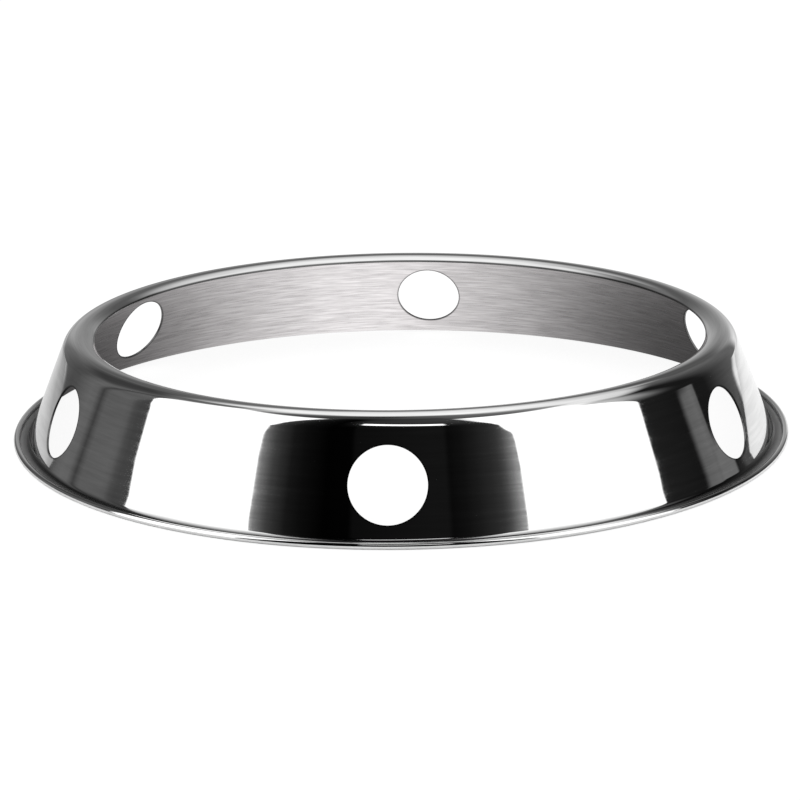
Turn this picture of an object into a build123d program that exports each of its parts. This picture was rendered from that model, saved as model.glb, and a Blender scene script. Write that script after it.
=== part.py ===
from build123d import *
import os
from math import asin, cos, degrees, radians, sin

os.makedirs("parts", exist_ok=True)

# A wok ring, pressed from one piece of thin stainless steel. The wide foot stands on the hob
# and a round-bottomed wok sits in the narrow rim. Turned over, the foot takes a wider wok.
# Millimetres, +Z up, origin under the middle of the foot, front towards -Y.

# The sheet
sheet = 0.6

# The foot, a flat flange whose edge is curled up and over
foot_diameter = 248.0  # over the curl
foot_flat = 2.6  # from the curl's middle to the fillet
foot_fillet = 2.0  # bend on the show face
curl_diameter = 2.0
curl_gap = 0.1  # left between the curl's end and the flange

# The wall, a cone that narrows upward
wall_lean = 22.0  # degrees from upright

# The rim, where the wall rolls over inward and ends in a cut edge
height = 33.4
rim_bend = 6.1  # bend on the show face
rim_turn = 48.0  # degrees that the rim rolls on past its crown, which carries the wok

# The vents, round holes punched square to the wall
vent_diameter = 22.3
vent_level = 0.46  # of the height, to the middle of a vent on the show face
vent_turn = -2.0  # degrees from the front to the first vent
vent_slips = (0.0, 2.0, -5.0, -3.5, -4.0, -3.2)  # how far each one was punched off an even pitch

# Chords stand for the bends, within 0.06 mm of the true arcs
rim_chord_count = 4  # past the crown
shoulder_chord_count = 5  # from the crown to the wall
fillet_chord_count = 3
curl_chord_count = 10

lean = radians(wall_lean)
curl_radius = curl_diameter / 2
curl_centre = (foot_diameter / 2 - curl_radius, curl_radius)
curl_turn = 270 + degrees(asin(1 - (sheet + curl_gap) / curl_radius))
fillet_centre = (curl_centre[0] - foot_flat, sheet + foot_fillet)
rim_level = height - rim_bend


def wall_radius(level, inward=0.0):
    # radius of the show face of the wall at a height, or of a line that runs further in
    across = foot_fillet + inward + (level - fillet_centre[1]) * sin(lean)
    return fillet_centre[0] - across / cos(lean)


rim_centre = (wall_radius(rim_level, rim_bend), rim_level)


def bend(centre, radius, start, turn, chords):
    arc = CenterArc(centre, radius, start, turn, mode=Mode.PRIVATE)
    return [arc @ (number / chords) for number in range(chords + 1)]


def sheet_face(depth):
    # one face of the sheet, from the rim to the end of the curl, at a depth below the show face
    radius = rim_bend - depth
    rim = bend(rim_centre, radius, 90, rim_turn, rim_chord_count)
    shoulder = bend(rim_centre, radius, wall_lean, 90 - wall_lean, shoulder_chord_count)
    radius = foot_fillet + depth
    fillet = bend(fillet_centre, radius, 180 + wall_lean, 90 - wall_lean, fillet_chord_count)
    radius = curl_radius - sheet + depth
    curl = bend(curl_centre, radius, -90, curl_turn, curl_chord_count)
    return rim[:0:-1] + shoulder[::-1] + fillet + curl


with BuildPart() as wok_ring:
    with BuildSketch(Plane.XZ):
        with BuildLine():
            Polyline(*sheet_face(0), *sheet_face(sheet)[::-1], close=True)
        make_face()
    revolve(axis=Axis.Z)

    # each vent is punched along the wall's own normal
    vent_height = vent_level * height
    vent_pitch = 360 / len(vent_slips)
    on_the_wall = Location((wall_radius(vent_height), 0, vent_height), (0, 90 - wall_lean, 0))
    for number, slip in enumerate(vent_slips):
        around = Location((0, 0, 0), (0, 0, vent_turn + number * vent_pitch + slip - 90))
        with Locations(around * on_the_wall):
            Hole(vent_diameter / 2, depth=vent_diameter / 2)

wok_ring.part.label = "wok_ring"
export_step(wok_ring.part, "parts/wok_ring.step")
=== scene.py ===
from math import asin, cos, pi, radians, sin

import bpy
from mathutils import Matrix, Vector


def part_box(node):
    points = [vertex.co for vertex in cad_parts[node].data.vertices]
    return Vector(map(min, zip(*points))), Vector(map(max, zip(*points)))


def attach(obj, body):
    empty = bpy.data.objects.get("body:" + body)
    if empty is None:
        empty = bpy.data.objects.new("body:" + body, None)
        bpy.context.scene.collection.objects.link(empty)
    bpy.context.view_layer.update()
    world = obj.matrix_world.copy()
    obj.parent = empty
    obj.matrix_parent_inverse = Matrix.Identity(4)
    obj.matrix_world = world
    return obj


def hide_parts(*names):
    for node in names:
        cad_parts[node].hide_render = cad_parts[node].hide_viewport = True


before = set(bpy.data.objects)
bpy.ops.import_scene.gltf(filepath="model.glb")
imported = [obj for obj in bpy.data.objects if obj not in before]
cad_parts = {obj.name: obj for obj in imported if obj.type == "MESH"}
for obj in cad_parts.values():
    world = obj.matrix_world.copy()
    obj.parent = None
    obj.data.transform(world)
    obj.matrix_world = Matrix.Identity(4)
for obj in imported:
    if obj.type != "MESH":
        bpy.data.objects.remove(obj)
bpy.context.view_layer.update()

# a polished wok ring on a white table, in metres, +Z up, seen towards +Y

ringLow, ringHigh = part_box("wok_ring")
mm = 0.001

# the view
cameraSetup = {
    "lens": 106.08,  # in mm, as is the sensor
    "sensor": 36,
    "clip": (0.01, 50),  # in metres
    "distance": 762.0 * mm,
    "elevation": 16.011,
    "roll": 0.727,  # the ring's right side stands a little higher in the picture
    "target": Vector((-0.22, 0.0, 7.36)) * mm,
}


def deselectAll():
    if bpy.context.object and bpy.context.object.mode != "OBJECT":
        bpy.ops.object.mode_set(mode="OBJECT")
    bpy.ops.object.select_all(action="DESELECT")


def pick(*objects):
    deselectAll()
    for thing in objects:
        thing.select_set(True)
    bpy.context.view_layer.objects.active = objects[0]


def addModifier(thing, name, kind, **settings):
    # adds a modifier with its settings and applies it straight away
    pick(thing)
    modifier = thing.modifiers.new(name, kind)
    for key, value in settings.items():
        setattr(modifier, key, value)
    bpy.ops.object.modifier_apply(modifier=name)


def placeCamera():
    up = radians(cameraSetup["elevation"])
    stand = cameraSetup["target"] + cameraSetup["distance"] * Vector((0, -cos(up), sin(up)))
    bpy.ops.object.camera_add(location=stand)
    camera = bpy.context.object
    camera.name = "camera"
    camera.data.lens = cameraSetup["lens"]
    camera.data.sensor_width = cameraSetup["sensor"]
    camera.data.clip_start, camera.data.clip_end = cameraSetup["clip"]
    aim = Matrix.Rotation(pi / 2 - up, 4, "X")
    roll = Matrix.Rotation(radians(-cameraSetup["roll"]), 4, "Z")
    camera.matrix_world = Matrix.Translation(stand) @ aim @ roll
    bpy.context.scene.camera = camera


placeCamera()
print("camera placed")


# the ring, drawn as half a section and spun round
ringSection = {
    "sheet": 0.6 * mm,
    "lean": radians(22),  # of the wall, from upright
    "rimBend": 6.1 * mm,
    "rimTurn": radians(48),  # past the crown
    "filletBend": 2.0 * mm,
    "footFlat": 2.6 * mm,
    "curlRadius": 1.0 * mm,
    "curlGap": 0.1 * mm,
    "wallSteps": 10,
    "bendSteps": {"rim": 28, "fillet": 12, "curl": 30},
    "flatSteps": 2,
    "turns": 360,
    "seam": 0.001 * mm,  # points nearer than this are one
    "wallLevel": 15 * mm,  # a height at which the show face is sure to be the wall
    "edgeSoftening": 0.07 * mm,
    "edgeSteps": 2,
    "edgeAngle": radians(60),  # from which an edge is softened
    "smoothAngle": radians(15),  # up to which the shading runs on
    "normalMatch": 0.97,  # cosine of the most that a smooth normal leans off its face
    "curlPolish": 1.5 * mm,  # how far inward of the curl's middle its inner face is polished
}
vents = {
    "radius": 22.3 / 2 * mm,
    "level": 0.46,  # of the height
    "turn": -2.0,  # degrees from the front
    "slips": (0.0, 2.0, -5.0, -3.5, -4.0, -3.2),  # off an even pitch
    "sides": 160,
    "punch": 12 * mm,  # length of the tool that cuts one
}
slots = {"polished": 0, "brushed": 1, "cut": 2}  # of the ring's materials


def sectionPoints():
    # where the bends' centres lie, from the outside edge and the height of the CAD ring
    s = ringSection
    footRadius = (ringHigh.x - ringLow.x) / 2
    height = ringHigh.z - ringLow.z
    curl = Vector((footRadius - s["curlRadius"], 0, s["curlRadius"]))
    fillet = Vector((curl.x - s["footFlat"], 0, s["sheet"] + s["filletBend"]))
    rimLevel = height - s["rimBend"]
    across = s["filletBend"] + s["rimBend"] + (rimLevel - fillet.z) * sin(s["lean"])
    rim = Vector((fillet.x - across / cos(s["lean"]), 0, rimLevel))
    return {"curl": curl, "fillet": fillet, "rim": rim, "height": height}


def spinVertex(centre, angle, steps):
    bpy.ops.mesh.spin(steps=steps, angle=angle, center=centre, axis=(0, 1, 0))


def stretchTo(start, end, steps):
    for number in range(steps):
        bpy.ops.mesh.extrude_region_move(TRANSFORM_OT_translate={"value": (end - start) / steps})


def drawSection():
    # one line along the show face, from the rim's cut edge to the end of the curl
    s = ringSection
    centre = sectionPoints()
    lean = s["lean"]
    across = Vector((cos(lean), 0, sin(lean)))  # the wall's outward normal
    edge = Vector((-sin(s["rimTurn"]), 0, cos(s["rimTurn"])))
    wallTop = centre["rim"] + across * s["rimBend"]
    wallFoot = centre["fillet"] - across * s["filletBend"]
    flatStart = centre["fillet"] - Vector((0, 0, s["filletBend"]))
    curlFoot = Vector((centre["curl"].x, 0, s["sheet"]))
    deselectAll()
    bpy.ops.mesh.primitive_plane_add(size=mm, location=centre["rim"] + edge * s["rimBend"])
    section = bpy.context.object
    bpy.ops.object.transform_apply(location=True)
    bpy.ops.object.mode_set(mode="EDIT")
    bpy.ops.mesh.select_mode(type="VERT")
    bpy.ops.mesh.select_all(action="SELECT")
    bpy.ops.mesh.merge(type="CENTER")
    spinVertex(centre["rim"], lean - pi / 2 - s["rimTurn"], s["bendSteps"]["rim"])
    stretchTo(wallTop, wallFoot, s["wallSteps"])
    spinVertex(centre["fillet"], pi / 2 - lean, s["bendSteps"]["fillet"])
    stretchTo(flatStart, curlFoot, s["flatSteps"])
    curlTurn = 1.5 * pi + asin(1 - (s["sheet"] + s["curlGap"]) / s["curlRadius"])
    spinVertex(centre["curl"], curlTurn, s["bendSteps"]["curl"])
    bpy.ops.object.mode_set(mode="OBJECT")
    return section


def spinRing(ring):
    # the section goes round once, and its seam is closed
    bpy.ops.object.mode_set(mode="EDIT")
    bpy.ops.mesh.select_all(action="SELECT")
    bpy.ops.mesh.spin(steps=ringSection["turns"], angle=2 * pi, center=(0, 0, 0), axis=(0, 0, 1))
    bpy.ops.mesh.select_all(action="SELECT")
    bpy.ops.mesh.remove_doubles(threshold=ringSection["seam"])
    bpy.ops.mesh.normals_make_consistent(inside=False)
    bpy.ops.object.mode_set(mode="OBJECT")
    # the faces point outward, which a face of the wall tells
    lean = ringSection["lean"]
    wallFace = min(ring.data.polygons, key=lambda face: abs(face.center.z - ringSection["wallLevel"]))
    outward = wallFace.center.to_2d().normalized().to_3d() * cos(lean) + Vector((0, 0, sin(lean)))
    if wallFace.normal.dot(outward) < 0:
        bpy.ops.object.mode_set(mode="EDIT")
        bpy.ops.mesh.select_all(action="SELECT")
        bpy.ops.mesh.flip_normals()
        bpy.ops.object.mode_set(mode="OBJECT")


def ventPlaces():
    # turn and middle of each vent on the show face
    centre = sectionPoints()
    lean = ringSection["lean"]
    level = vents["level"] * centre["height"]
    out = ringSection["filletBend"] + (level - centre["fillet"].z) * sin(lean)
    wallRadius = centre["fillet"].x - out / cos(lean)
    turns = [radians(vents["turn"] + number * 360 / len(vents["slips"]) + slip)
             for number, slip in enumerate(vents["slips"])]
    return [(turn, Vector((wallRadius * sin(turn), -wallRadius * cos(turn), level))) for turn in turns]


def makeVentCutter():
    # one punch for each vent, square to the wall
    lean = ringSection["lean"]
    punches = []
    for turn, place in ventPlaces():
        deselectAll()
        bpy.ops.mesh.primitive_cylinder_add(vertices=vents["sides"], radius=vents["radius"],
                                            depth=vents["punch"], location=place,
                                            rotation=(pi / 2 - lean, 0, turn))
        punches.append(bpy.context.object)
    pick(*punches)
    bpy.ops.object.join()
    bpy.ops.object.transform_apply(location=True, rotation=True)
    return bpy.context.object


def makeRing(materials):
    s = ringSection
    ring = drawSection()
    ring.name = "wok_ring_sheet"
    spinRing(ring)
    for material in materials:
        ring.data.materials.append(material)
    addModifier(ring, "thickness", "SOLIDIFY", thickness=s["sheet"], offset=-1, use_even_offset=True,
                material_offset=slots["brushed"], material_offset_rim=slots["cut"])
    addModifier(ring, "softEdges", "BEVEL", width=s["edgeSoftening"], segments=s["edgeSteps"],
                limit_method="ANGLE", angle_limit=s["edgeAngle"])
    pick(ring)
    bpy.ops.object.shade_smooth_by_angle(angle=s["smoothAngle"])
    bpy.ops.object.duplicate()
    uncut = bpy.context.object
    cutter = makeVentCutter()
    cutter.data.materials.append(materials[slots["cut"]])
    addModifier(ring, "vents", "BOOLEAN", operation="DIFFERENCE", object=cutter, solver="EXACT",
                material_mode="TRANSFER")
    # the cut sheet keeps the smooth normals of the uncut one, and the punched edges their own
    addModifier(ring, "normals", "DATA_TRANSFER", object=uncut, use_loop_data=True,
                data_types_loops={"CUSTOM_NORMAL"}, loop_mapping="POLYINTERP_NEAREST")
    normals = [corner.vector.copy() for corner in ring.data.corner_normals]
    for face in ring.data.polygons:
        for corner in face.loop_indices:
            if face.normal.dot(normals[corner]) < s["normalMatch"]:
                normals[corner] = face.normal.copy()
    ring.data.normals_split_custom_set(normals)
    for spare in (cutter, uncut):
        bpy.data.objects.remove(spare)
    print("ring made,", len(ring.data.polygons), "faces")
    return ring


def polishCurl(ring):
    # the curl shows the sheet's other face, which is polished too
    inside = sectionPoints()["curl"].x - ringSection["curlPolish"]
    for face in ring.data.polygons:
        if face.material_index == slots["brushed"] and face.center.to_2d().length > inside:
            face.material_index = slots["polished"]


# the finishes
steel = {
    "climb": 180,  # mm of radius that a metre of height counts for, along the section
    "noiseRange": (0.3, 0.7),  # where nearly all of a noise's values lie
    "lineRoughness": 0.6,
    # lines: cycles per metre round the ring, and per mm across the lines
    # roughness: from the low to the high values of the lines
    # bump: strength, and depth in metres
    "polish": {"colour": (0.72, 0.72, 0.72), "lines": {"around": 40, "across": 1.3, "detail": 5},
               "roughness": (0.015, 0.06), "bump": (0.03, 0.00001), "anisotropy": 0.4},
    "brush": {"colours": ((0.585, 0.562, 0.567, 1), (0.915, 0.886, 0.891, 1)), "contrast": (0.32, 0.68),
              "lines": {"around": 90, "across": 3.3, "detail": 3},
              "roughness": (0.25, 0.36), "bump": (0.25, 0.00003), "anisotropy": 0.6},
    # the cut edges' dark colour is painted shade, standing in for the dark reflection along them; their
    # grain and roughness are the sheared steel's own
    "cut": {"colour": (0.12, 0.12, 0.12, 1), "grain": 900, "roughness": (0.16, 0.32)},
    "streaks": 0.09,  # how much lighter and darker the traces of brushing make the polish
    "streakRange": (0.35, 0.65),
    # by radius in mm: painted shade, a dark line on the rim's show face along its cut edge
    "rimPaintedShade": ((97.1, 0.12), (97.4, 0.2), (97.65, 1)),
    # by radius in mm: painted shade, darkest in the corner at the wall's foot and lighter over the flange,
    # standing in for the dark reflections there; the polishing wheel leaves the flange dull
    "cornerPaintedShade": ((118.5, 1), (118.8, 0.55), (119.2, 0.14), (119.8, 0.13), (120.4, 0.33), (121.2, 0.5),
                    (122.0, 0.68), (122.5, 1)),
    "cornerRoughness": ((118.7, 0), (119.6, 0.2), (120.8, 0.36), (122.1, 0.36), (122.5, 0)),
    # painted shade round the vents, standing in for the dark reflection along the punched edges
    "ventPaintedShade": 0.2,  # share of its colour that the steel keeps at a punched edge
    "ventPaintedShadeReach": (0.11 * mm, 0.55 * mm),  # from that edge, where the shade begins to fade and ends
}


def nodesOf(material):
    material.use_nodes = True
    tree = material.node_tree
    return tree.nodes, tree.links, tree.nodes["Principled BSDF"]


def addMath(nodes, links, kind, first, second=None):
    node = nodes.new("ShaderNodeMath")
    node.operation = kind
    for socket, value in zip(node.inputs, (first, second)):
        if value is None:
            continue
        if isinstance(value, (int, float)):
            socket.default_value = value
        else:
            links.new(value, socket)
    return node.outputs[0]


def addRange(nodes, links, value, low, high, outLow, outHigh):
    node = nodes.new("ShaderNodeMapRange")
    links.new(value, node.inputs["Value"])
    for name, number in zip(("From Min", "From Max", "To Min", "To Max"), (low, high, outLow, outHigh)):
        node.inputs[name].default_value = number
    return node.outputs["Result"]


def addStops(nodes, links, value, stops, top=1):
    # a value changed by stops, which run from low to high; top is at least their greatest
    ramp = nodes.new("ShaderNodeValToRGB")
    low, high = stops[0][0], stops[-1][0]
    links.new(addRange(nodes, links, value, low, high, 0, 1), ramp.inputs[0])
    points = ramp.color_ramp.elements
    while len(points) < len(stops):
        points.new(0.5)
    for point, (place, light) in zip(points, stops):
        point.position = (place - low) / (high - low)
        point.color = (light / top, light / top, light / top, 1)
    return addMath(nodes, links, "MULTIPLY", ramp.outputs["Color"], top)


def ringCoordinates(nodes, links):
    # x and y in metres, the radius in mm, and a coordinate that climbs along the section
    place = nodes.new("ShaderNodeTexCoord")
    split = nodes.new("ShaderNodeSeparateXYZ")
    links.new(place.outputs["Object"], split.inputs[0])
    x, y, z = split.outputs
    squares = [addMath(nodes, links, "MULTIPLY", part, part) for part in (x, y)]
    squareSum = addMath(nodes, links, "ADD", *squares)
    radius = addMath(nodes, links, "DIVIDE", addMath(nodes, links, "SQRT", squareSum), mm)
    climb = addMath(nodes, links, "SUBTRACT", radius, addMath(nodes, links, "MULTIPLY", z, steel["climb"]))
    return x, y, radius, climb


def addLines(nodes, links, coordinates, around, across, detail):
    # noise drawn out into lines that run round the ring
    x, y, radius, climb = coordinates
    join = nodes.new("ShaderNodeCombineXYZ")
    links.new(addMath(nodes, links, "MULTIPLY", x, around), join.inputs[0])
    links.new(addMath(nodes, links, "MULTIPLY", y, around), join.inputs[1])
    links.new(addMath(nodes, links, "MULTIPLY", climb, across), join.inputs[2])
    noise = nodes.new("ShaderNodeTexNoise")
    links.new(join.outputs[0], noise.inputs["Vector"])
    noise.inputs["Scale"].default_value = 1
    noise.inputs["Detail"].default_value = detail
    noise.inputs["Roughness"].default_value = steel["lineRoughness"]
    return noise.outputs["Fac"]


def addBump(nodes, links, height, strength, distance):
    bump = nodes.new("ShaderNodeBump")
    bump.inputs["Strength"].default_value = strength
    bump.inputs["Distance"].default_value = distance
    links.new(height, bump.inputs["Height"])
    return bump.outputs["Normal"]


def roundTangent(nodes, links, shader):
    tangent = nodes.new("ShaderNodeTangent")
    tangent.direction_type = "RADIAL"
    tangent.axis = "Z"
    links.new(tangent.outputs[0], shader.inputs["Tangent"])


def addPaintedVentShade(nodes, links):
    # painted shade: the steel is darkened close to the punched edges, standing in for their dark
    # reflection; its distance from the nearest vent's axis says where
    lean = ringSection["lean"]
    place = nodes.new("ShaderNodeTexCoord").outputs["Object"]
    nearest = None
    for turn, centre in ventPlaces():
        out = nodes.new("ShaderNodeVectorMath")
        out.operation = "SUBTRACT"
        links.new(place, out.inputs[0])
        out.inputs[1].default_value = centre
        aside = nodes.new("ShaderNodeVectorMath")
        aside.operation = "CROSS_PRODUCT"
        links.new(out.outputs[0], aside.inputs[0])
        aside.inputs[1].default_value = (sin(turn) * cos(lean), -cos(turn) * cos(lean), sin(lean))
        length = nodes.new("ShaderNodeVectorMath")
        length.operation = "LENGTH"
        links.new(aside.outputs[0], length.inputs[0])
        # the vent across the ring lies on nearly the same axis
        front = nodes.new("ShaderNodeVectorMath")
        front.operation = "LENGTH"
        links.new(out.outputs[0], front.inputs[0])
        far = addMath(nodes, links, "GREATER_THAN", front.outputs["Value"], 2 * vents["radius"])
        away = addMath(nodes, links, "ADD", length.outputs["Value"], far)
        nearest = addMath(nodes, links, "MINIMUM", nearest, away) if nearest else away
    begin, end = (vents["radius"] + reach for reach in steel["ventPaintedShadeReach"])
    return addRange(nodes, links, nearest, begin, end, steel["ventPaintedShade"], 1)


def polishedSteel():
    material = bpy.data.materials.new("polishedSteel")
    nodes, links, shader = nodesOf(material)
    look = steel["polish"]
    coordinates = ringCoordinates(nodes, links)
    radius = coordinates[2]
    lines = addLines(nodes, links, coordinates, **look["lines"])
    shade = addRange(nodes, links, lines, *steel["streakRange"], 1 - steel["streaks"], 1 + steel["streaks"])
    # painted shade: the show face is darkened by radius along the rim's cut edge and in the corner at the
    # wall's foot
    for stops in (steel["rimPaintedShade"], steel["cornerPaintedShade"]):
        shade = addMath(nodes, links, "MULTIPLY", shade, addStops(nodes, links, radius, stops))
    # painted shade close to the vents' punched edges
    shade = addMath(nodes, links, "MULTIPLY", shade, addPaintedVentShade(nodes, links))
    colour = nodes.new("ShaderNodeCombineXYZ")
    for socket, part in zip(colour.inputs, look["colour"]):
        links.new(addMath(nodes, links, "MULTIPLY", shade, part), socket)
    links.new(colour.outputs[0], shader.inputs["Base Color"])
    polish = addRange(nodes, links, lines, *steel["noiseRange"], *look["roughness"])
    flange = addStops(nodes, links, radius, steel["cornerRoughness"])
    links.new(addMath(nodes, links, "ADD", polish, flange), shader.inputs["Roughness"])
    links.new(addBump(nodes, links, lines, *look["bump"]), shader.inputs["Normal"])
    shader.inputs["Metallic"].default_value = 1
    shader.inputs["Anisotropic"].default_value = look["anisotropy"]
    roundTangent(nodes, links, shader)
    return material


def brushedSteel():
    material = bpy.data.materials.new("brushedSteel")
    nodes, links, shader = nodesOf(material)
    look = steel["brush"]
    lines = addLines(nodes, links, ringCoordinates(nodes, links), **look["lines"])
    mix = nodes.new("ShaderNodeMix")
    mix.data_type = "RGBA"
    mix.inputs["A"].default_value, mix.inputs["B"].default_value = look["colours"]
    links.new(addRange(nodes, links, lines, *look["contrast"], 0, 1), mix.inputs["Factor"])
    # painted shade close to the vents' punched edges
    dim = nodes.new("ShaderNodeVectorMath")
    dim.operation = "SCALE"
    links.new(mix.outputs["Result"], dim.inputs[0])
    links.new(addPaintedVentShade(nodes, links), dim.inputs["Scale"])
    links.new(dim.outputs[0], shader.inputs["Base Color"])
    rough = addRange(nodes, links, lines, *steel["noiseRange"], *look["roughness"])
    links.new(rough, shader.inputs["Roughness"])
    links.new(addBump(nodes, links, lines, *look["bump"]), shader.inputs["Normal"])
    shader.inputs["Metallic"].default_value = 1
    shader.inputs["Anisotropic"].default_value = look["anisotropy"]
    roundTangent(nodes, links, shader)
    return material


def cutSteel():
    material = bpy.data.materials.new("cutSteel")
    nodes, links, shader = nodesOf(material)
    look = steel["cut"]
    place = nodes.new("ShaderNodeTexCoord")
    noise = nodes.new("ShaderNodeTexNoise")
    links.new(place.outputs["Object"], noise.inputs["Vector"])
    noise.inputs["Scale"].default_value = look["grain"]
    rough = addRange(nodes, links, noise.outputs["Fac"], *steel["noiseRange"], *look["roughness"])
    links.new(rough, shader.inputs["Roughness"])
    shader.inputs["Metallic"].default_value = 1
    # painted shade: a dark colour standing in for the cut edges' dark reflection
    shader.inputs["Base Color"].default_value = look["colour"]
    return material


ring = makeRing([polishedSteel(), brushedSteel(), cutSteel()])
polishCurl(ring)
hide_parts("wok_ring")
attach(ring, "root")
print("steel finished")


# the studio: a white table, and a small tent over the ring that only the metal's reflections see
# azimuths run from the camera's side to the right, elevations from the table up, both in degrees
tent = {
    "radius": 0.4,
    "facets": (96, 48),  # round it, and from bottom to top
    "brightest": 2.5,
    # light by elevation, where no card stands: grey horizon, pale band, dark bar, bright panel overhead
    "light": ((-6, 0.06), (1, 0.09), (5, 0.38), (10, 0.45), (14, 0.42), (18, 0.33), (22, 0.25), (26, 0.17),
              (30, 0.12), (34, 0.13), (37, 0.21), (40, 0.38), (43, 0.58), (47, 0.75), (52, 0.9), (58, 1.1),
              (70, 1.2), (80, 1.3), (90, 0.8)),
    # each card hides what comes before it, and its light changes along its azimuths
    # a side whose azimuth changes with elevation has stops of both
    # soft: how far the edges spread, at the sides, the bottom and the top
    # farSoft: the same at the straight side that is further round from the camera, where it differs
    # tilt: how far the bottom and top sink for each degree to the right
    "cards": {
        "paleRightCorner": {
            "azimuths": (124, 170), "elevations": (-12, 10), "soft": (2, 1, 5),
            "light": ((124, 1.0), (140, 0.95), (148, 0.65), (156, 0.52), (170, 0.5)),
        },
        "paleLeftCorner": {
            "azimuths": (-156, -126), "elevations": (-12, 3.5), "soft": (4, 1, 2),
            "light": ((-156, 0.50), (-140, 0.74), (-126, 0.45)),
        },
        "dullLeftCorner": {
            "azimuths": (-177, -156), "elevations": (-12, 11), "soft": (4, 1, 4),
            "light": ((-177, 0.3), (-165, 0.25), (-156, 0.32)),
        },
        "dullBehind": {
            "azimuths": (-178, -160), "elevations": (6, 20), "soft": (3, 4, 4),
            "light": ((-178, 0.31), (-160, 0.30)),
        },
        "dullLeft": {
            "azimuths": (-172, -130), "elevations": (31, 51), "soft": (5, 5, 7),
            "light": ((-172, 0.2), (-160, 0.19), (-150, 0.13), (-140, 0.10), (-130, 0.08)),
        },
        "gapLeft": {
            "azimuths": (-129, -93), "elevations": (48, 66), "soft": (6, 6, 5),
            "light": ((-129, 0.17), (-110, 0.18), (-93, 0.35)),
        },
        "softboxLeft": {
            "azimuths": (-103, -30), "elevations": (-9, 64.3), "soft": (4, 1, 2),
            "light": ((-103, 1.5), (-90, 1.65), (-30, 1.65)),
        },
        "softboxRight": {
            "azimuths": (20, 83), "elevations": (-9, 61.5), "soft": (6, 1, 2),
            "light": ((20, 1.65), (74, 1.65), (83, 1.3)),
        },
        "roofRight": {
            "azimuths": (18, 100), "elevations": (61.8, 72), "soft": (6, 1.8, 5),
            "light": ((18, 0.045), (40, 0.06), (54, 0.11), (64, 0.2), (76, 0.32), (100, 0.5)),
        },
        "roof": {
            "azimuths": (-106, 92), "elevations": (64.6, 91), "soft": (26, 2, 1),
            "light": ((-106, 0.30), (-80, 0.14), (-60, 0.08), (-40, 0.047), (-20, 0.047), (0, 0.08),
                      (20, 0.11), (40, 0.14), (60, 0.17), (92, 0.28)),
        },
        "flagLeft": {
            "azimuths": (-144, ((6, -74.3), (10, -76.7), (12, -78.1), (16, -78.3), (19, -79.3), (22, -80.3),
                                (26, -82.0), (30, -84.3), (38, -91), (42, -95), (50, -102.5), (58, -110))),
            "elevations": (0.5, 52), "soft": (0.3, 0.8, 7), "farSoft": 5,
            "light": ((-144, 0.19), (-138, 0.17), (-130, 0.12), (-122, 0.088), (-117, 0.095), (-110, 0.15),
                      (-107, 0.17), (-103.5, 0.16), (-102, 0.12), (-100.2, 0.064), (-98.5, 0.11),
                      (-97, 0.14), (-88, 0.147), (-86, 0.135), (-84, 0.09), (-82, 0.073), (-78.3, 0.075)),
        },
        "flagLeftCore": {
            "azimuths": (-142, -106), "elevations": (27, 48), "soft": (6, 5, 5),
            "light": ((-142, 0.10), (-130, 0.055), (-118, 0.055), (-106, 0.085)),
        },
        "flagRight": {
            "azimuths": (((6, 69), (10, 71.8), (12, 73.0), (16, 73.3), (20, 73.5), (40, 73.5)), 137),
            "elevations": (1.5, 47.5), "soft": (0.3, 0.8, 3.5), "farSoft": 4,
            "light": ((73.5, 0.03), (75, 0.018), (77, 0.016), (87.5, 0.011), (104, 0.013), (108, 0.03),
                      (112, 0.055), (120, 0.10), (130, 0.15), (137, 0.16)),
        },
        "dullRight": {
            "azimuths": (134, 157), "elevations": (25, 41), "soft": (4, 4, 4),
            "light": ((134, 0.11), (157, 0.11)),
        },
        "stripeRight": {
            "azimuths": (89.8, 97.4), "elevations": (1.5, 13), "soft": (1.5, 0.8, 1.5), "farSoft": 0.4,
            "light": ((89.8, 0.15), (92, 0.16), (95, 0.18), (97.4, 0.14)),
        },
        "stripeRightFoot": {
            "azimuths": (96.4, 104.3), "elevations": (1.5, 6.8), "soft": (1, 0.8, 1), "farSoft": 0.7,
            "light": ((96.4, 0.2), (104.3, 0.19)),
        },
        "leakRight": {
            "azimuths": (73.5, 90), "elevations": (33, 52), "soft": (0.3, 16, 4), "farSoft": 7,
            "light": ((73.5, 0.9), (90, 0.35)),
        },
        "flagFront": {
            "azimuths": (((16, -39.5), (20, -39.5), (22, -38.7), (24, -37.2), (26, -36.6), (30, -36.3),
                          (66, -36.3)),
                         ((16, 31.9), (20, 32.1), (21.5, 31.7), (22.5, 30.9), (23.3, 29.3), (24.3, 27.9),
                          (28, 27.1), (34, 26.4), (42, 24.8), (50, 23.5), (66, 22))),
            "elevations": (0.5, 70), "soft": (0.15, 0.8, 3),
            "light": ((-39.2, 0.42), (-38.4, 0.24), (-37, 0.145), (-36, 0.095), (-35, 0.062), (-33, 0.034),
                      (-30, 0.011), (-26.5, 0.005), (-20, 0.0005), (-13.7, 0.001), (-12.5, 0.005),
                      (8, 0.009), (11.6, 0.009), (12.9, 0.004), (16.6, 0.007), (20, 0.014), (22, 0.021),
                      (24, 0.028), (26, 0.043), (27, 0.062), (28, 0.095), (29, 0.16), (30, 0.24),
                      (31, 0.37), (31.9, 0.45)),
        },
        "flagGlow": {
            "azimuths": (-16, 24), "elevations": (44, 72), "soft": (5, 14, 6),
            "light": ((-16, 0.025), (0, 0.045), (24, 0.065)),
        },
        "slit": {
            "azimuths": (-12.5, 13.5), "elevations": (38.8, 45.2), "soft": (0.6, 0.8, 0.8), "tilt": 0.2,
            "light": ((-12.5, 1.8), (13.5, 1.8)),
        },
    },
}
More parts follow.
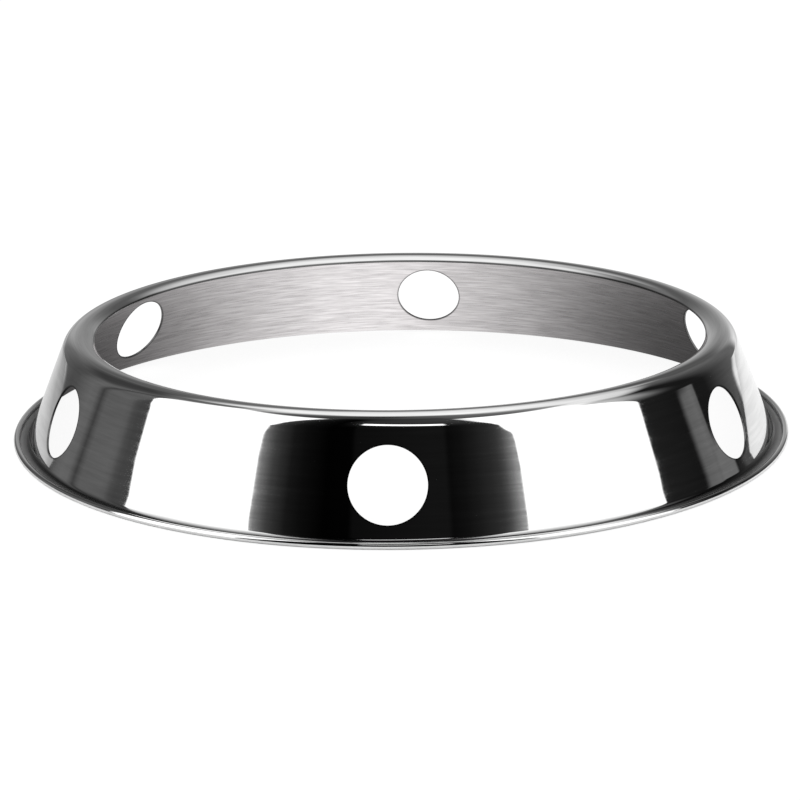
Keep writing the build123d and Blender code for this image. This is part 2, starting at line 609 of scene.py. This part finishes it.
table = {
    "size": 40,
    "below": 0.02 * mm,  # the foot, so that the two don't meet
    "colour": (0.9, 0.9, 0.9, 1),
    "roughness": 0.6,
    "seen": (0.14, 0.14, 0.14, 1),  # share of its shade that the camera sees under the white
    "white": 0.90,
    # light that the metal finds on it
    "brightest": 2,
    # inside: by x over the reach in mm, which is the sine of the angle of the wall that mirrors the place
    "reach": {"slope": 1.5, "start": 60, "least": 30},
    "inside": ((-1.0, 0.08), (-0.88, 0.11), (-0.80, 0.18), (-0.72, 0.27), (-0.65, 0.36), (-0.57, 0.52),
               (-0.41, 0.79), (-0.24, 1.03), (-0.16, 1.08), (-0.07, 1.08), (0.01, 1.06), (0.18, 0.82),
               (0.35, 0.60), (0.51, 0.35), (0.59, 0.24), (0.67, 0.165), (0.74, 0.12), (0.82, 0.09),
               (1.0, 0.07)),
    # outside: by x in metres, and the share of it that is left behind the ring, by y
    "outside": ((-0.6, 0.30), (-0.20, 0.42), (-0.14, 0.66), (-0.10, 0.85), (0.10, 0.98), (0.20, 0.92),
                (0.6, 0.8)),
    "behind": ((0.15, 1), (0.32, 0.55)),
    "border": 120,  # radius in mm at which the inside ends
    "borderSoft": 1,
}
studio = {
    "sky": 1,
    "lampPlace": (-0.4, 0.2, 1.6),
    "lampSize": 1.2,
    "lampPower": 4,
}


def addStep(nodes, links, value, edge, soft):
    # 0 below the edge and 1 above it
    step = nodes.new("ShaderNodeMapRange")
    step.interpolation_type = "SMOOTHSTEP"
    links.new(value, step.inputs["Value"])
    step.inputs["From Min"].default_value = edge - soft
    step.inputs["From Max"].default_value = edge + soft
    return step.outputs["Result"]


def addFall(nodes, links, value, edge, soft):
    # 1 below the edge and 0 above it
    return addMath(nodes, links, "SUBTRACT", 1, addStep(nodes, links, value, edge, soft))


def fromEdge(nodes, links, azimuth, elevation, edge):
    # the azimuth to compare and the edge to compare it with, also where the edge changes with elevation
    if type(edge) is not tuple:
        return azimuth, edge
    # a ramp holds nothing below zero, so the stops are kept half a turn up
    halfTurn = 180
    shifted = tuple((height, place + halfTurn) for height, place in edge)
    place = addStops(nodes, links, elevation, shifted, 2 * halfTurn)
    return addMath(nodes, links, "SUBTRACT", azimuth, place), -halfTurn


def addMix(nodes, links, share, first, second):
    mix = nodes.new("ShaderNodeMix")
    links.new(share, mix.inputs["Factor"])
    links.new(first, mix.inputs["A"])
    links.new(second, mix.inputs["B"])
    return mix.outputs["Result"]


def makeTent():
    deselectAll()
    around, upward = tent["facets"]
    bpy.ops.mesh.primitive_uv_sphere_add(segments=around, ring_count=upward, radius=tent["radius"])
    dome = bpy.context.object
    dome.name = "tent"
    material = bpy.data.materials.new("tentCloth")
    nodes, links, shader = nodesOf(material)
    place = nodes.new("ShaderNodeTexCoord")
    direction = nodes.new("ShaderNodeVectorMath")
    direction.operation = "NORMALIZE"
    links.new(place.outputs["Object"], direction.inputs[0])
    split = nodes.new("ShaderNodeSeparateXYZ")
    links.new(direction.outputs[0], split.inputs[0])
    toCamera = addMath(nodes, links, "MULTIPLY", split.outputs[1], -1)
    azimuth = addMath(nodes, links, "DEGREES", addMath(nodes, links, "ARCTAN2", split.outputs[0], toCamera))
    elevation = addMath(nodes, links, "DEGREES", addMath(nodes, links, "ARCSINE", split.outputs[2]))
    light = addStops(nodes, links, elevation, tent["light"], tent["brightest"])
    for card in tent["cards"].values():
        left, right = card["azimuths"]
        low, high = card["elevations"]
        soft, lowSoft, highSoft = card["soft"]
        up = elevation
        if "tilt" in card:
            up = addMath(nodes, links, "ADD", up, addMath(nodes, links, "MULTIPLY", azimuth, card["tilt"]))
        farSoft = card.get("farSoft", soft)
        leftSoft = farSoft if type(left) is not tuple and left < 0 else soft
        rightSoft = farSoft if type(right) is not tuple and right > 0 else soft
        inside = addStep(nodes, links, up, low, lowSoft)
        for edge in (addFall(nodes, links, up, high, highSoft),
                     addStep(nodes, links, *fromEdge(nodes, links, azimuth, elevation, left), leftSoft),
                     addFall(nodes, links, *fromEdge(nodes, links, azimuth, elevation, right), rightSoft)):
            inside = addMath(nodes, links, "MULTIPLY", inside, edge)
        tone = addStops(nodes, links, azimuth, card["light"], tent["brightest"])
        light = addMix(nodes, links, inside, light, tone)
    shader.inputs["Base Color"].default_value = (0, 0, 0, 1)
    shader.inputs["Specular IOR Level"].default_value = 0
    shader.inputs["Emission Color"].default_value = (1, 1, 1, 1)
    links.new(light, shader.inputs["Emission Strength"])
    dome.data.materials.append(material)
    for seenBy in ("camera", "diffuse", "transmission", "volume_scatter", "shadow"):
        setattr(dome, "visible_" + seenBy, False)


def makeTable():
    deselectAll()
    bpy.ops.mesh.primitive_plane_add(size=table["size"], location=(0, 0, -table["below"]))
    top = bpy.context.object
    top.name = "table"
    bpy.ops.object.transform_apply(location=True)
    material = bpy.data.materials.new("whiteTable")
    nodes, links, shader = nodesOf(material)
    shader.inputs["Base Color"].default_value = table["colour"]
    shader.inputs["Roughness"].default_value = table["roughness"]
    shader.inputs["Specular IOR Level"].default_value = 0
    path = nodes.new("ShaderNodeLightPath")
    # the camera sees the table lifted to white, with some of its shade left in it
    plain = nodes.new("ShaderNodeBsdfDiffuse")
    plain.inputs["Color"].default_value = table["seen"]
    glow = nodes.new("ShaderNodeEmission")
    glow.inputs["Strength"].default_value = table["white"]
    lifted = nodes.new("ShaderNodeAddShader")
    links.new(plain.outputs[0], lifted.inputs[0])
    links.new(glow.outputs[0], lifted.inputs[1])
    # the metal finds it brighter in some places than in others
    x, y, radius = ringCoordinates(nodes, links)[:3]
    reach = addMath(nodes, links, "MULTIPLY", radius, table["reach"]["slope"])
    reach = addMath(nodes, links, "SUBTRACT", reach, table["reach"]["start"])
    reach = addMath(nodes, links, "MAXIMUM", reach, table["reach"]["least"])
    side = addMath(nodes, links, "DIVIDE", addMath(nodes, links, "DIVIDE", x, mm), reach)
    inner = addStops(nodes, links, side, table["inside"], table["brightest"])
    outer = addStops(nodes, links, x, table["outside"], table["brightest"])
    outer = addMath(nodes, links, "MULTIPLY", outer, addStops(nodes, links, y, table["behind"]))
    beyond = addStep(nodes, links, radius, table["border"], table["borderSoft"])
    grey = nodes.new("ShaderNodeCombineXYZ")
    for socket in grey.inputs:
        links.new(outer, socket)
    shaded = nodes.new("ShaderNodeBsdfDiffuse")
    links.new(grey.outputs[0], shaded.inputs["Color"])
    even = nodes.new("ShaderNodeEmission")
    links.new(inner, even.inputs["Strength"])
    mirrored = nodes.new("ShaderNodeMixShader")
    links.new(beyond, mirrored.inputs[0])
    links.new(even.outputs[0], mirrored.inputs[1])
    links.new(shaded.outputs[0], mirrored.inputs[2])
    choose = nodes.new("ShaderNodeMixShader")
    links.new(path.outputs["Is Glossy Ray"], choose.inputs[0])
    links.new(shader.outputs[0], choose.inputs[1])
    links.new(mirrored.outputs[0], choose.inputs[2])
    seenRays = (path.outputs["Is Camera Ray"], path.outputs["Is Transmission Ray"])
    seen = addMath(nodes, links, "MAXIMUM", *seenRays)
    final = nodes.new("ShaderNodeMixShader")
    links.new(seen, final.inputs[0])
    links.new(choose.outputs[0], final.inputs[1])
    links.new(lifted.outputs[0], final.inputs[2])
    links.new(final.outputs[0], nodes["Material Output"].inputs["Surface"])
    top.data.materials.append(material)


def lightStudio():
    scene = bpy.context.scene
    scene.view_settings.view_transform = "Standard"
    world = bpy.data.worlds.new("studioWorld")
    scene.world = world
    world.use_nodes = True
    sky = world.node_tree.nodes["Background"]
    sky.inputs["Color"].default_value = (1, 1, 1, 1)
    sky.inputs["Strength"].default_value = studio["sky"]
    bpy.ops.object.light_add(type="AREA", location=studio["lampPlace"])
    lamp = bpy.context.object
    lamp.name = "overhead"
    lamp.data.shape = "DISK"
    lamp.data.size = studio["lampSize"]
    lamp.data.energy = studio["lampPower"]
    lamp.visible_glossy = False
    lamp.rotation_euler = (-lamp.location).to_track_quat("-Z", "Y").to_euler()  # at the ring


makeTent()
makeTable()
lightStudio()
print("studio set")
